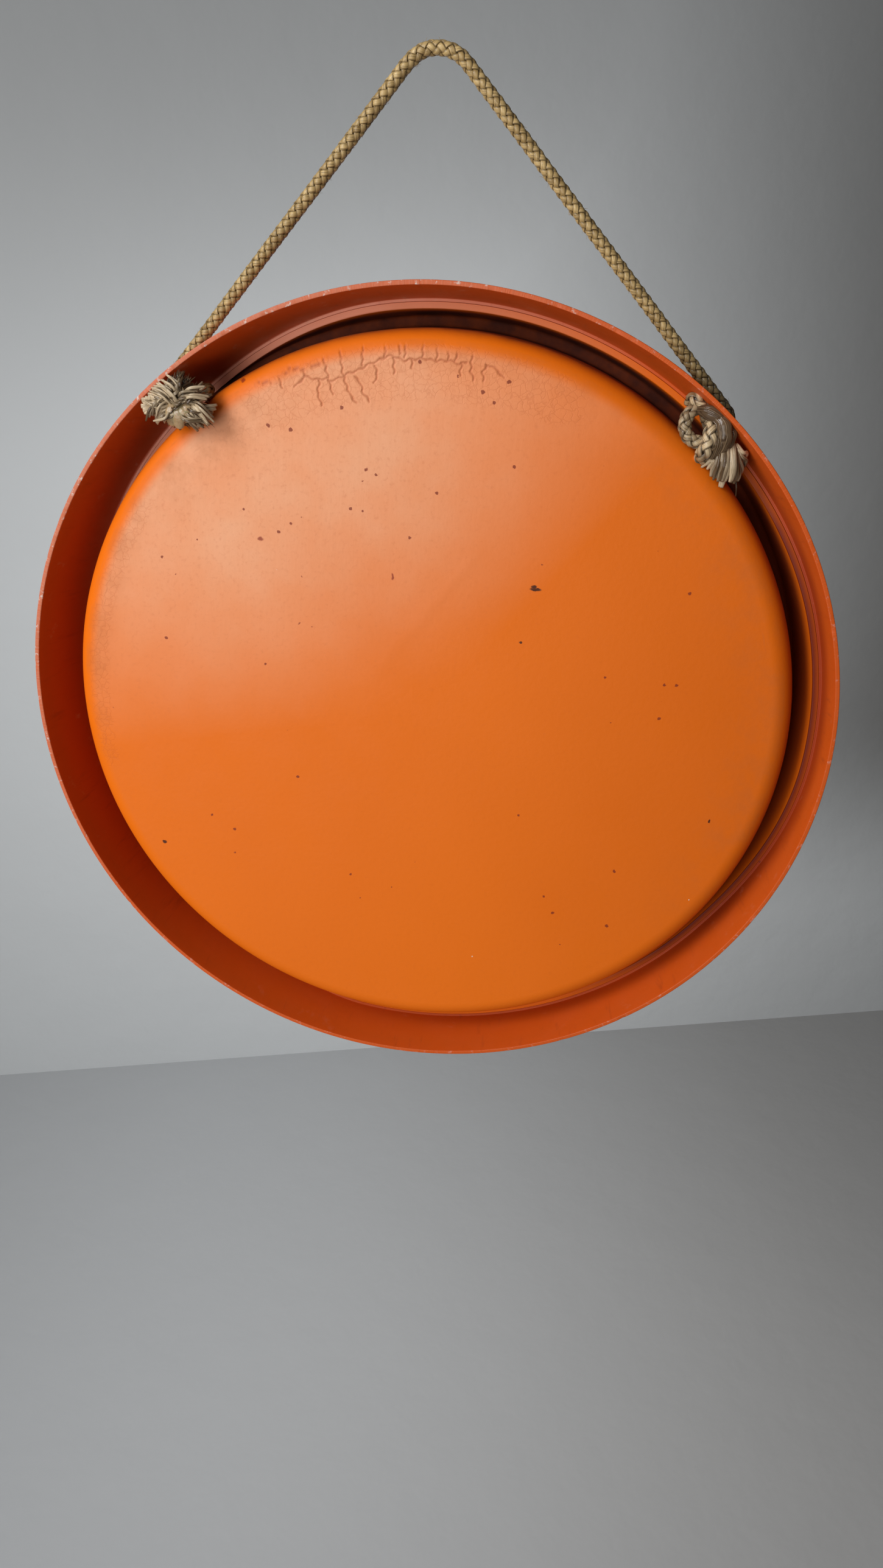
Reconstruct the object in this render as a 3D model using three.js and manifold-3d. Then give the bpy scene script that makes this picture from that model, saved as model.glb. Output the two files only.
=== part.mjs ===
// A deep-skirted, double-walled plastic disc that hangs from a cord loop.
// Millimetres, +Z up. The origin is where a hand or hook holds the loop: the underside of the cord's bend.
// The open side faces -Y. Inside the disc's own group, x is right, y is depth and z is up, and the origin is
// on the line through the two cord holes.
import * as THREE from "three";
import { mergeVertices } from "three/addons/utils/BufferGeometryUtils.js";
import Module from "manifold-3d";

// Outer shell. Depths are measured back from the rim's end face.
const RIM_RADIUS = 136.5;
const RIM_THICKNESS = 1.45;
const SHELL_DEPTH = 36;
const SKIRT_DRAFT = 0.19; // how much the radius shrinks for each millimetre of depth
const LEDGE_DEPTH = 18.6;
const LEDGE_STEP = 0.7;
const BACK_THICKNESS = 1.75;
const SHOULDER_RADIUS = 7;
const CORNER_CHAMFER = 2.3;

// Inner liner: a pan whose raised centre faces the open side.
const LINER_WALL = 1.7;
const FIT_GAP = 0.3;
const GROOVE_OUTER_RADIUS = 128.6;
const PLATEAU_RADIUS = 123.1;
const PLATEAU_EDGE_RADIUS = 7;
const PLATEAU_DEPTH = 3.5;
const PLATEAU_CROWN = 0.7;
const GROOVE_FILLET = 0.9;
const CROWN_HALFWAY = 0.75; // share of the crown that is left halfway out

// Cord, its holes and its knots.
const CORD_RADIUS = 2.1;
const CORD_SIDES = 10;
const CORD_STEPS = 60;
const END_BALL_SHARE = 0.995; // the end balls stay just inside the tube's corners
const NECK_STEPS = 12;
const HOLE_RADIUS = 2.7;
const HOLE_SIDES = 20;
const DRILL_LENGTH = 14;
const HOLE_DEPTH = 14.9;
const HOLE_ANGLE = THREE.MathUtils.degToRad(41); // each hole's angle from straight up
const WALL_GAP = 0.3;
const ELBOW_RADIUS = 3.4;
const NECK_LENGTH = 9.4; // from the elbow's corner back into the knot
const NECK_END = 2.4; // short of the line that the disc swings on
const KNOT_RADIUS = 128.5;
const KNOT_DEPTH = 8.1;
const KNOT_THICK = 4;
const KNOT_TALL = 7.5;
const LEFT_KNOT = { angle: 41, half: 7.5 };
const RIGHT_KNOT = { angle: 38.2, half: 9.6 };
const LEFT_FRAY = { radius: 124.9, depth: -3, length: 6.2, mouth: 10, root: 5.3, flat: 0.85 };
const RIGHT_FRAY = { angle: 44.75, length: 9.3, mouth: 5.1, root: 3, flat: 0.75 };

// How the disc hangs.
const LEG_LEFT = 128.1; // from each hole to the point where the two straight legs would meet
const LEG_RIGHT = 138.9;
const LOOP_TOP = 7.9; // that point's height
const BALANCE_BEHIND = 5.8; // centre of mass behind the holes
const BALANCE_BELOW = 102.4; // centre of mass below the holes

const LATHE_SEGMENTS = 72;
const ARC_STEPS = 5;
const BALL_SEGMENTS = 16;
const BALL_RINGS = 12;
const FRAY_SIDES = 18;

// The cord's centreline, from the left joint over the bend to the right joint, as x and z at y = 0.
const CORD_ROUTE = [
  [-80.4, -82.6],
  [-77.4, -79.2],
  [-71.4, -72.5],
  [-59.3, -58.8],
  [-46.2, -44.1],
  [-33.2, -29.5],
  [-22.9, -17.9],
  [-11.6, -5.1],
  [-8.6, -1.8],
  [-6.1, 0.3],
  [-3.2, 1.7],
  [0, 2.1],
  [3.2, 1.7],
  [6.2, 0.4],
  [8.7, -1.7],
  [11.7, -5],
  [24.6, -19.2],
  [34.8, -30.5],
  [48.7, -45.8],
  [61.3, -59.6],
  [75, -74.8],
  [83.1, -83.7],
  [88.1, -89.3],
];

const SHELL_LOOK = { color: 0xd9531e, roughness: 0.42, metalness: 0 };
const LINER_LOOK = { color: 0xe0661c, roughness: 0.38, metalness: 0 };
const CORD_LOOK = { color: 0x9c7a48, roughness: 0.55, metalness: 0 };
const FRAY_LOOK = { color: 0xb3a077, roughness: 0.5, metalness: 0 };

const wasm = await Module();
wasm.setup();

function toSolid(geometry) {
  const bare = geometry.clone();
  bare.deleteAttribute("normal");
  bare.deleteAttribute("uv");
  const merged = mergeVertices(bare, 1e-4);
  return new wasm.Manifold(
    new wasm.Mesh({
      numProp: 3,
      vertProperties: merged.attributes.position.array,
      triVerts: new Uint32Array(merged.index.array),
    }),
  );
}

function toGeometry(solid) {
  const mesh = solid.getMesh();
  const geometry = new THREE.BufferGeometry();
  geometry.setAttribute("position", new THREE.BufferAttribute(mesh.vertProperties, 3));
  geometry.setIndex(new THREE.BufferAttribute(mesh.triVerts, 1));
  geometry.computeVertexNormals();
  return geometry;
}

function named(name, geometry, look) {
  const mesh = new THREE.Mesh(geometry, new THREE.MeshStandardMaterial(look));
  mesh.name = name;
  return mesh;
}

function skirtRadius(depth) {
  return RIM_RADIUS - SKIRT_DRAFT * depth;
}

// Points of an arc in the profile plane; 0 degrees points outward and 90 degrees points back.
function profileArc(radius, depth, bend, fromDegrees, toDegrees) {
  return Array.from({ length: ARC_STEPS + 1 }, (_, i) => {
    const angle = THREE.MathUtils.degToRad(fromDegrees + ((toDegrees - fromDegrees) * i) / ARC_STEPS);
    return [radius + bend * Math.cos(angle), depth + bend * Math.sin(angle)];
  });
}

function turned(profile) {
  const points = profile.map(([radius, depth]) => new THREE.Vector2(radius, depth - HOLE_DEPTH));
  return new THREE.LatheGeometry(points, LATHE_SEGMENTS);
}

// A unit vector from the disc's axis out through a cord hole; side is -1 for left and 1 for right.
function holeDirection(side) {
  return new THREE.Vector3(side * Math.sin(HOLE_ANGLE), 0, Math.cos(HOLE_ANGLE));
}

const cornerRadius = skirtRadius(HOLE_DEPTH) + WALL_GAP + CORD_RADIUS;
const holeSpacing = 2 * cornerRadius * Math.sin(HOLE_ANGLE);
const holeHeight = cornerRadius * Math.cos(HOLE_ANGLE);

// The loop's top in the plane of its legs, measured from the middle between the holes.
const topAside = (LEG_LEFT ** 2 - LEG_RIGHT ** 2) / (2 * holeSpacing);
const topAbove = Math.sqrt(LEG_LEFT ** 2 - (holeSpacing / 2 + topAside) ** 2);

// The disc turns until its centre of mass is straight below the loop's top.
const roll = Math.atan2(-topAside, topAbove + Math.hypot(BALANCE_BELOW, BALANCE_BEHIND));
const tilt = -Math.atan2(BALANCE_BEHIND, BALANCE_BELOW);

function discGroup() {
  const group = new THREE.Group();
  group.rotation.set(tilt, roll, 0, "YXZ");
  const across = new THREE.Vector3(Math.cos(roll), 0, -Math.sin(roll));
  const upward = new THREE.Vector3(Math.sin(roll), 0, Math.cos(roll));
  group.position.set(0, 0, LOOP_TOP);
  group.position.addScaledVector(across, -topAside);
  group.position.addScaledVector(upward, -topAbove);
  group.updateMatrixWorld(true);
  return group;
}

function holeCutter(side) {
  const cutter = new THREE.CylinderGeometry(HOLE_RADIUS, HOLE_RADIUS, DRILL_LENGTH, HOLE_SIDES);
  const outward = holeDirection(side);
  cutter.applyQuaternion(new THREE.Quaternion().setFromUnitVectors(new THREE.Vector3(0, 1, 0), outward));
  cutter.translate(...outward.multiplyScalar(skirtRadius(HOLE_DEPTH)).toArray());
  return toSolid(cutter);
}

function outerShell() {
  const floorDepth = SHELL_DEPTH - BACK_THICKNESS;
  const step = skirtRadius(LEDGE_DEPTH) - RIM_THICKNESS;
  const insideTop = step - LEDGE_STEP;
  const insideBottom = insideTop - SKIRT_DRAFT * (floorDepth - LEDGE_DEPTH);
  const shoulderDepth = SHELL_DEPTH - SHOULDER_RADIUS;
  const profile = [
    [0, floorDepth],
    [insideBottom - CORNER_CHAMFER, floorDepth],
    [insideBottom + SKIRT_DRAFT * CORNER_CHAMFER, floorDepth - CORNER_CHAMFER],
    [insideTop, LEDGE_DEPTH],
    [step, LEDGE_DEPTH],
    [RIM_RADIUS - RIM_THICKNESS, 0],
    [RIM_RADIUS, 0],
    ...profileArc(skirtRadius(shoulderDepth) - SHOULDER_RADIUS, shoulderDepth, SHOULDER_RADIUS, 0, 90),
    [0, SHELL_DEPTH],
  ];
  const shell = toSolid(turned(profile)).subtract(holeCutter(-1)).subtract(holeCutter(1));
  return named("outer_shell", toGeometry(shell), SHELL_LOOK);
}

function innerLiner() {
  const floorBack = SHELL_DEPTH - BACK_THICKNESS - FIT_GAP;
  const floorFront = floorBack - LINER_WALL;
  const lipOuter = skirtRadius(LEDGE_DEPTH) - RIM_THICKNESS - LEDGE_STEP - FIT_GAP;
  const outerBottom = lipOuter - SKIRT_DRAFT * (floorBack - CORNER_CHAMFER - LEDGE_DEPTH);
  const grooveBottom = GROOVE_OUTER_RADIUS - SKIRT_DRAFT * (floorFront - GROOVE_FILLET - LEDGE_DEPTH);
  const edgeCentre = PLATEAU_RADIUS - PLATEAU_EDGE_RADIUS;
  const edgeDepth = PLATEAU_DEPTH + PLATEAU_EDGE_RADIUS;
  const innerEdge = PLATEAU_EDGE_RADIUS - LINER_WALL;
  const profile = [
    [0, PLATEAU_DEPTH - PLATEAU_CROWN],
    [edgeCentre / 2, PLATEAU_DEPTH - PLATEAU_CROWN * CROWN_HALFWAY],
    ...profileArc(edgeCentre, edgeDepth, PLATEAU_EDGE_RADIUS, -90, 0),
    [PLATEAU_RADIUS, floorFront - GROOVE_FILLET],
    [PLATEAU_RADIUS + GROOVE_FILLET, floorFront],
    [grooveBottom - GROOVE_FILLET, floorFront],
    [grooveBottom, floorFront - GROOVE_FILLET],
    [GROOVE_OUTER_RADIUS, LEDGE_DEPTH],
    [lipOuter, LEDGE_DEPTH],
    [outerBottom, floorBack - CORNER_CHAMFER],
    [outerBottom - CORNER_CHAMFER - FIT_GAP, floorBack],
    [PLATEAU_RADIUS - LINER_WALL, floorBack],
    ...profileArc(edgeCentre, edgeDepth, innerEdge, 0, -90),
    [edgeCentre / 2, PLATEAU_DEPTH - PLATEAU_CROWN * CROWN_HALFWAY + LINER_WALL],
    [0, PLATEAU_DEPTH - PLATEAU_CROWN + LINER_WALL],
  ];
  return named("inner_liner", turned(profile), LINER_LOOK);
}

function onDiscAxis(mesh) {
  mesh.position.z = -holeHeight;
  return mesh;
}

function sweep(path, steps, radius) {
  const section = new THREE.Shape();
  for (let i = 0; i <= CORD_SIDES; i += 1) {
    const angle = (2 * Math.PI * i) / CORD_SIDES;
    const x = radius * Math.cos(angle);
    const y = radius * Math.sin(angle);
    if (i === 0) section.moveTo(x, y);
    else if (i < CORD_SIDES) section.lineTo(x, y);
    else section.closePath();
  }
  return new THREE.ExtrudeGeometry(section, { steps, extrudePath: path, bevelEnabled: false });
}

function ball(radius, centre, squeeze = [1, 1, 1]) {
  const shape = new THREE.SphereGeometry(radius, BALL_SEGMENTS, BALL_RINGS);
  shape.scale(...squeeze);
  shape.translate(...centre.toArray());
  return shape;
}

function routePoint(index) {
  const [x, z] = CORD_ROUTE.at(index);
  return new THREE.Vector3(x, 0, z);
}

function carryCord() {
  const points = CORD_ROUTE.map((_, i) => routePoint(i));
  const path = new THREE.CatmullRomCurve3(points, false, "centripetal");
  const endRadius = CORD_RADIUS * END_BALL_SHARE;
  const cord = toSolid(sweep(path, CORD_STEPS, CORD_RADIUS))
    .add(toSolid(ball(endRadius, points[0])))
    .add(toSolid(ball(endRadius, points.at(-1))));
  return named("carry_cord", toGeometry(cord), CORD_LOOK);
}

// The short stretch of cord that comes out of a knot, goes through its hole and turns up to the loop's leg.
function neckPath(side, group) {
  const outward = holeDirection(side);
  const corner = outward.clone().multiplyScalar(cornerRadius);
  corner.z -= holeHeight;
  const loopTop = group.worldToLocal(new THREE.Vector3(0, 0, LOOP_TOP));
  const legWard = loopTop.sub(corner).normalize();
  const turn = outward.angleTo(legWard);
  const tangent = ELBOW_RADIUS * Math.tan(turn / 2);
  const start = corner.clone().addScaledVector(outward, -tangent);
  const inward = legWard.clone().addScaledVector(outward, -outward.dot(legWard)).normalize();
  const centre = start.clone().addScaledVector(inward, ELBOW_RADIUS);
  const points = [corner.clone().addScaledVector(outward, -NECK_LENGTH), start];
  for (let i = 1; i <= ARC_STEPS; i += 1) {
    const angle = (turn * i) / ARC_STEPS;
    const point = centre.clone().addScaledVector(inward, -ELBOW_RADIUS * Math.cos(angle));
    points.push(point.addScaledVector(outward, ELBOW_RADIUS * Math.sin(angle)));
  }
  const joint = group.worldToLocal(routePoint(side < 0 ? 0 : -1));
  points.push(joint.addScaledVector(legWard, -NECK_END));
  return new THREE.CatmullRomCurve3(points, false, "centripetal");
}

// A frame inside the channel between skirt and plateau: x points out along the radius, y runs down the rim and
// z is square to both. The angle is counted from straight up.
function channelFrame(side, degrees, radius, depth) {
  const angle = THREE.MathUtils.degToRad(degrees);
  const outward = new THREE.Vector3(side * Math.sin(angle), 0, Math.cos(angle));
  const along = new THREE.Vector3(side * Math.cos(angle), 0, -Math.sin(angle));
  const place = outward.clone().multiplyScalar(radius);
  place.y = depth - HOLE_DEPTH;
  place.z -= holeHeight;
  const frame = new THREE.Matrix4().makeBasis(outward, along, outward.clone().cross(along));
  return frame.setPosition(place);
}

function knot(name, side, { angle, half }, group) {
  const lump = ball(1, new THREE.Vector3(), [KNOT_THICK, half, KNOT_TALL]);
  lump.applyMatrix4(channelFrame(side, angle, KNOT_RADIUS, KNOT_DEPTH));
  const neck = sweep(neckPath(side, group), NECK_STEPS, CORD_RADIUS);
  return named(name, toGeometry(toSolid(lump).add(toSolid(neck))), CORD_LOOK);
}

function fray({ length, mouth, root, flat }) {
  const brush = new THREE.CylinderGeometry(mouth, root, length, FRAY_SIDES);
  brush.scale(flat, 1, 1);
  return brush;
}

// The left end is seen end on: its brush faces the open side.
function leftFrayedEnd() {
  const brush = fray(LEFT_FRAY).rotateX(Math.PI / 2);
  brush.applyMatrix4(channelFrame(-1, LEFT_KNOT.angle, LEFT_FRAY.radius, LEFT_FRAY.depth));
  return named("left_frayed_end", brush, FRAY_LOOK);
}

// The right end's brush points down along the rim.
function rightFrayedEnd() {
  const brush = fray(RIGHT_FRAY);
  brush.applyMatrix4(channelFrame(1, RIGHT_FRAY.angle, KNOT_RADIUS, KNOT_DEPTH));
  return named("right_frayed_end", brush, FRAY_LOOK);
}

const disc = discGroup();
disc.add(onDiscAxis(outerShell()), onDiscAxis(innerLiner()));
disc.add(knot("left_knot", -1, LEFT_KNOT, disc), knot("right_knot", 1, RIGHT_KNOT, disc));
disc.add(leftFrayedEnd(), rightFrayedEnd());

const hangingDisc = new THREE.Group();
hangingDisc.add(carryCord(), disc);

export default hangingDisc;
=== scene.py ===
import math
from functools import partial

import bmesh
import bpy
import numpy as np
from mathutils import Matrix, Vector


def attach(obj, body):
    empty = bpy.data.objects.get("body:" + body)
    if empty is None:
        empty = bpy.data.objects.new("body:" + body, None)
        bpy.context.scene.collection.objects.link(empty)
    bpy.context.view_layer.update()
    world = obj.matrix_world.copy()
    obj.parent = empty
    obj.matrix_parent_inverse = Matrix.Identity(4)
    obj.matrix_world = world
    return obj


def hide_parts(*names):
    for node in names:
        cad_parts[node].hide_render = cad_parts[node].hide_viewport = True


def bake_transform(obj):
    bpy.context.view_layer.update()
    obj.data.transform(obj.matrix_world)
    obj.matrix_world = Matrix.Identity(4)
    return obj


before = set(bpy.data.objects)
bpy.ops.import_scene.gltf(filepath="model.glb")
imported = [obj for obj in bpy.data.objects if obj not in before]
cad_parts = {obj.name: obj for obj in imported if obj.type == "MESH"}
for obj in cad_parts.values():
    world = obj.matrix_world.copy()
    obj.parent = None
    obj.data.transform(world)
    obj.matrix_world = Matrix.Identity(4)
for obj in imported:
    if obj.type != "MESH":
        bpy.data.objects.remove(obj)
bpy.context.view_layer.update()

MM = 0.001
TAU = 2 * math.pi
REAL_RIM_RADIUS = 136.5
RIM_RADIUS = 117.5
ENLARGE = REAL_RIM_RADIUS / RIM_RADIUS
UNIT = ENLARGE * MM

# The disc as it hangs, its centre in millimetres.
RIM_CENTRE = np.array([0.035, -20.683, -193.03])
TILT = math.radians(-3.242)
ROLL = math.radians(2.293)
TURN = np.array(Matrix.Rotation(ROLL, 3, "Y") @ Matrix.Rotation(TILT, 3, "X"))

# The camera: metres, degrees and millimetres.
CAMERA_PLACE = (0.04906, -0.37263, -0.04427)
CAMERA_TURN = (64.003, -0.878, 7.217)
LENS = 25.994
FILM_HEIGHT = 36

# The stage, in metres.
BACKDROP_LEFT = Vector((-0.6854, 0.7598, -1.0886))
BACKDROP_RIGHT = Vector((0.5498, 1.0862, -1.0886))
BACKDROP_MARGIN = 2.6
BACKDROP_HEIGHT = 3.5
FLOOR_REACH = 4.5

# Shell, as in the CAD, in drawing units.
RIM_THICKNESS = 1.25
SKIRT_DRAFT = 0.19
SHELL_DEPTH = 31.0
SHELL_INNER_DEPTH = 29.5
BACK_INNER_RADIUS = 110.0
SKIRT_MIDDLE_RADIUS = 115
SHOULDER_ROUNDING = 5.6
LEDGE_DEPTH = 16.0

# Liner: a raised plateau, a groove round it and a ledge outside that.
PLATEAU_RADIUS = 106.0
PLATEAU_EDGE = 6.0
PLATEAU_DEPTH = 3.0
PLATEAU_CROWN = 0.6
GROOVE_DEPTH = 27.6
GROOVE_OUTER_RADIUS = 109.0
LEDGE_INNER_RADIUS = 110.7
LINER_BACK_DEPTH = 29.0
LINER_WALL = 1.5
LEFT_SINK = 10.8
RIGHT_RISE = 6
CRACK_HALF_WIDTH = 0.25

# Cord and knots. A braid's strands lie round a plain core, and their sizes go with the cord's radius.
CORD_RADIUS = 1.808
CORE_RADIUS = 1.14
STRAND_ORBIT = 1.28
STRAND_HALF_WIDTH = 0.76
STRAND_HALF_THICKNESS = 0.33
HOLE_RADIUS = 2.32
DRILL_LENGTH = 11
HOLE_DEPTH = 12.83
HOLE_ANGLE = math.radians(41)
CORNER_RADIUS = 117.13
BRAID_LAY = 10.3
WALL_CLEARANCE = 1.0
LEFT_KNOT = (-70.3, 0.0, 83.3)
RIGHT_KNOT = (71.7, 5.0, 84.7)
TO_VIEWER = (0, -1, 0)
CORD_ROUTE = [  # x and z in real millimetres
    (-77.4, -79.2), (-71.4, -72.5), (-59.3, -58.8), (-46.2, -44.1), (-33.2, -29.5), (-22.9, -17.9),
    (-11.6, -5.1), (-8.6, -1.8), (-6.1, 0.3), (-3.2, 1.7), (0, 2.1), (3.2, 1.7), (6.2, 0.4),
    (8.7, -1.7), (11.7, -5), (24.6, -19.2), (34.8, -30.5), (48.7, -45.8), (61.3, -59.6), (75, -74.8),
    (83.1, -83.7),
]


def on_disc(points):
    """Drawn points in the disc's own frame, as metres in the row frame."""
    return np.asarray(points, float) @ TURN.T * UNIT + RIM_CENTRE * MM


def hole_way(side):
    """The way that the left (-1) or right (1) cord hole points, out from the disc's axis."""
    return np.array([math.sin(side * HOLE_ANGLE), 0, math.cos(side * HOLE_ANGLE)])


# ---- camera, stage and light


def place_camera():
    data = bpy.data.cameras.new("camera")
    data.sensor_fit = "VERTICAL"
    data.sensor_height = FILM_HEIGHT
    data.lens = LENS
    camera = bpy.data.objects.new("camera", data)
    camera.location = CAMERA_PLACE
    camera.rotation_euler = [math.radians(a) for a in CAMERA_TURN]
    bpy.context.scene.collection.objects.link(camera)
    bpy.context.scene.camera = camera


def area_light(name, place, target, size, power, colour=(1, 1, 1)):
    data = bpy.data.lights.new(name, "AREA")
    data.shape = "RECTANGLE"
    data.size, data.size_y = size
    data.energy = power
    data.color = colour
    lamp = bpy.data.objects.new(name, data)
    lamp.location = place
    lamp.rotation_euler = (Vector(target) - Vector(place)).to_track_quat("-Z", "Y").to_euler()
    bpy.context.scene.collection.objects.link(lamp)
    return lamp


def light_scene():
    """A broad light in front, a window high on the left, one on the stage, and a little from all round."""
    middle = (0, 0, -0.193)
    area_light("front", (-0.48, -1.2, -0.19), middle, (0.75, 0.9), 8.2, (1.0, 0.98, 0.95))
    area_light("window", (-0.68, -0.68, 0.42), middle, (0.5, 0.5), 8.2, (0.98, 0.99, 1.0))
    behind = area_light("stage", (0.0, 0.22, -0.22), (0.1, 0.85, -1.09), (0.2, 0.2), 3.2)
    behind.visible_camera = False
    world = bpy.data.worlds.new("room")
    world.use_nodes = True
    sky = world.node_tree.nodes["Background"]
    sky.inputs["Color"].default_value = (0.93, 0.97, 1.0, 1)
    sky.inputs["Strength"].default_value = 0.085
    bpy.context.scene.world = world
    view = bpy.context.scene.view_settings
    view.view_transform = "Standard"
    view.look = "None"


# ---- shader helper


class Shader:
    """A Principled material and short ways to wire it. Lengths in textures are in drawing units."""

    def __init__(self, name, place=None):
        self.material = bpy.data.materials.new(name)
        self.material.use_nodes = True
        self.tree = self.material.node_tree
        self.surface = self.tree.nodes["Principled BSDF"]
        if place is None:
            where = self.node("TexCoord").outputs["Object"]
        else:
            where = self.attribute(place, "Vector")
        self.place = self.vector("SCALE", where, 1 / UNIT)

    def put(self, socket, value):
        if isinstance(value, bpy.types.NodeSocket):
            self.tree.links.new(value, socket)
        else:
            socket.default_value = value

    def node(self, kind, values=None, **settings):
        """A new node with its settings, and with values put in its inputs by their numbers or names."""
        node = self.tree.nodes.new("ShaderNode" + kind)
        for key, value in settings.items():
            setattr(node, key, value)
        for key, value in (values or {}).items():
            self.put(node.inputs[key], value)
        return node

    def attribute(self, name, output="Fac"):
        return self.node("Attribute", attribute_name=name).outputs[output]

    def math(self, operation, a, b=0.0):
        return self.node("Math", {0: a, 1: b}, operation=operation).outputs[0]

    def chain(self, operation, first, *others):
        for other in others:
            first = self.math(operation, first, other)
        return first

    def plus(self, *values):
        return self.chain("ADD", *values)

    def times(self, *values):
        return self.chain("MULTIPLY", *values)

    def any_of(self, *values):
        return self.chain("MAXIMUM", *values)

    def vector(self, operation, a, b=(0, 0, 0)):
        """Vector mathematics; b is a vector, or a number for SCALE."""
        second = "Scale" if operation == "SCALE" else 1
        node = self.node("VectorMath", {0: a, second: b}, operation=operation)
        return node.outputs["Value" if operation == "LENGTH" else "Vector"]

    def parts(self, vector):
        return self.node("SeparateXYZ", {0: vector}).outputs

    def join(self, x, y, z):
        return self.node("CombineXYZ", {0: x, 1: y, 2: z}).outputs[0]

    def fit(self, value, low, high, to_low=0.0, to_high=1.0):
        """Eases a value in low to high into to_low to to_high."""
        values = dict(enumerate((value, low, high, to_low, to_high)))
        return self.node("MapRange", values, interpolation_type="SMOOTHSTEP").outputs[0]

    def noise(self, size, detail=3.0, rough=0.55, place=None, output="Fac"):
        where = self.place if place is None else place
        values = {"Vector": where, "Scale": 1 / size, "Detail": detail, "Roughness": rough}
        return self.node("TexNoise", values).outputs[output]

    def cells(self, size, feature, place=None, output="Distance"):
        values = {"Vector": self.place if place is None else place, "Scale": 1 / size}
        return self.node("TexVoronoi", values, feature=feature).outputs[output]

    def warp(self, size, amount):
        """The place, pushed about by noise."""
        shift = self.vector("SUBTRACT", self.noise(size, 3, 0.5, output="Color"), (0.5, 0.5, 0.5))
        return self.vector("ADD", self.place, self.vector("SCALE", shift, amount))

    def mix(self, share, under, over):
        """The colour over laid on the colour under by that share."""
        values = {"Factor": share}
        for key, colour in (("A", under), ("B", over)):
            values[key] = (*colour, 1) if isinstance(colour, tuple) else colour
        return self.node("Mix", values, data_type="RGBA").outputs["Result"]

    def layers(self, colour, *coats):
        """Coats of (share, tint), one after another, on a colour."""
        for share, tint in coats:
            colour = self.mix(share, colour, tint)
        return colour

    def blots(self, place, marks):
        """1 inside any mark, each a centre and a half size, and 0 outside them."""
        shares = []
        for centre, size in marks:
            offset = self.vector("DIVIDE", self.vector("SUBTRACT", place, centre), size)
            shares.append(self.fit(self.vector("LENGTH", offset), 1.35, 0.65))
        return self.any_of(*shares)

    def bump(self, height, distance, strength, below=None):
        values = {"Height": height, "Distance": distance * UNIT, "Strength": strength}
        if below is not None:
            values["Normal"] = below
        return self.node("Bump", values).outputs["Normal"]

    def finish(self, **inputs):
        for name, value in inputs.items():
            self.put(self.surface.inputs[name.replace("_", " ")], value)
        return self.material


# ---- mesh helpers


def make_piece(name, verts, faces, material, weld=False, **attributes):
    """A mesh piece in the row frame. Each attribute is one number or one vector for each vertex."""
    mesh = bpy.data.meshes.new(name)
    mesh.from_pydata(np.asarray(verts).tolist(), [], [list(map(int, f)) for f in faces])
    for key, values in attributes.items():
        values = np.asarray(values, np.float32)
        kind = "FLOAT" if values.ndim == 1 else "FLOAT_VECTOR"
        slot = mesh.attributes.new(key, kind, "POINT")
        slot.data.foreach_set("value" if values.ndim == 1 else "vector", values.ravel())
    body = bmesh.new()
    body.from_mesh(mesh)
    if weld:
        bmesh.ops.remove_doubles(body, verts=body.verts, dist=2e-6)
    bmesh.ops.recalc_face_normals(body, faces=body.faces)
    body.to_mesh(mesh)
    body.free()
    mesh.shade_smooth()
    mesh.materials.append(material)
    piece = bpy.data.objects.new(name, mesh)
    bpy.context.scene.collection.objects.link(piece)
    return piece


def declare(piece, node, body="disc"):
    if node:
        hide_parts(node)
    if body:
        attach(piece, body)
    return piece


def rounded(corners, step):
    """A profile through (radius, depth, rounding) corners, with its straights cut up by step."""
    points = []
    for i, (r, w, bend) in enumerate(corners):
        here = np.array([r, w], float)
        if bend == 0 or i in (0, len(corners) - 1):
            points.append(here)
            continue
        before = np.array(corners[i - 1][:2], float) - here
        after = np.array(corners[i + 1][:2], float) - here
        a = here + before / np.linalg.norm(before) * bend
        b = here + after / np.linalg.norm(after) * bend
        for t in np.linspace(0, 1, 6):
            points.append((1 - t) ** 2 * a + 2 * t * (1 - t) * here + t**2 * b)
    fine = [points[0]]
    for a, b in zip(points, points[1:]):
        count = max(1, math.ceil(np.linalg.norm(b - a) / step))
        fine += [a + (b - a) * k / count for k in range(1, count + 1)]
    return np.array(fine)


def turned(profile, angles):
    """Vertices in the disc's frame, their angles, and the faces of a profile turned about the axis."""
    segments = len(angles)
    radius, depth = profile[:, 0], profile[:, 1]
    x = np.sin(angles)[:, None] * radius
    z = np.cos(angles)[:, None] * radius
    w = np.broadcast_to(depth, x.shape)
    points = np.stack([x, w, z], -1).reshape(-1, 3)
    n = len(profile)
    i, j = np.meshgrid(np.arange(segments), np.arange(n - 1), indexing="ij")
    k = (i + 1) % segments
    faces = np.stack([i * n + j, i * n + j + 1, k * n + j + 1, k * n + j], -1).reshape(-1, 4)
    return points, np.repeat(angles, n), faces


def run_along(points):
    """How far along the line each of its points is."""
    return np.concatenate([[0], np.cumsum(np.linalg.norm(np.diff(points, axis=0), axis=1))])


def smooth_path(points, step):
    """A Catmull-Rom curve through the points, cut into equal steps."""
    p = np.asarray(points, float)
    p = np.vstack([2 * p[0] - p[1], p, 2 * p[-1] - p[-2]])
    fine = []
    for a, b, c, d in zip(p, p[1:], p[2:], p[3:]):
        t = np.linspace(0, 1, 24, endpoint=False)[:, None]
        square = (2 * a - 5 * b + 4 * c - d) * t**2
        cube = (3 * b - a - 3 * c + d) * t**3
        fine.append(0.5 * (2 * b + (c - a) * t + square + cube))
    fine = np.vstack([*fine, p[-2:-1]])
    run = run_along(fine)
    at = np.linspace(0, run[-1], max(3, round(run[-1] / step) + 1))
    return np.stack([np.interp(at, run, fine[:, i]) for i in range(3)], 1), at


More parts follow.
